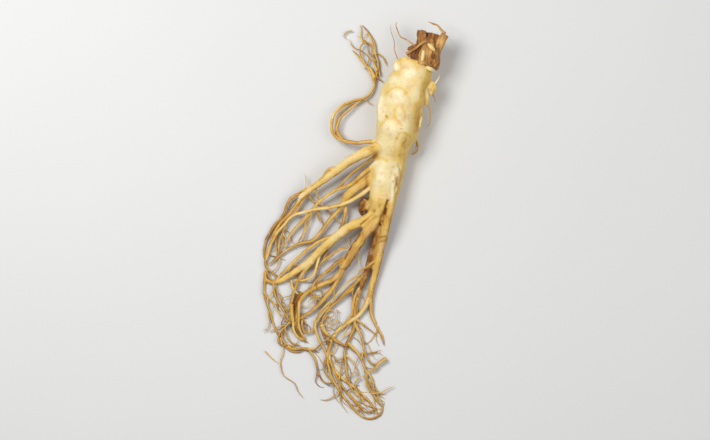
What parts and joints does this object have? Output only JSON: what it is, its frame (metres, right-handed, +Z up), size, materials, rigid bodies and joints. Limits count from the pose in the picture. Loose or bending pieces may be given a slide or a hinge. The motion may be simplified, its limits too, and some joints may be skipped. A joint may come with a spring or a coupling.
{
  "type": "ginseng root",
  "caption": "Fresh ginseng root lying on its side: a stout cream taproot with a brown rhizome at its head and a one-sided sweep of long forked legs and fine rootlets.",
  "frame": {"origin": "centre of the small flat spot under the thickest stretch of the taproot, on the surface that the root lies on", "axes": "+Y from the root's tail to its head, +Z up from the surface, +X to the root's right seen from above with its head away from the viewer"},
  "size_m": [0.1339, 0.2887, 0.0324],
  "materials": {
    "root_flesh": "washed satin skin",
    "dry_sheath": "dry and matt"
  },
  "bodies": {
    "root": {"taproot": "root_flesh", "rhizome": "dry_sheath"}
  },
  "joints": []
}
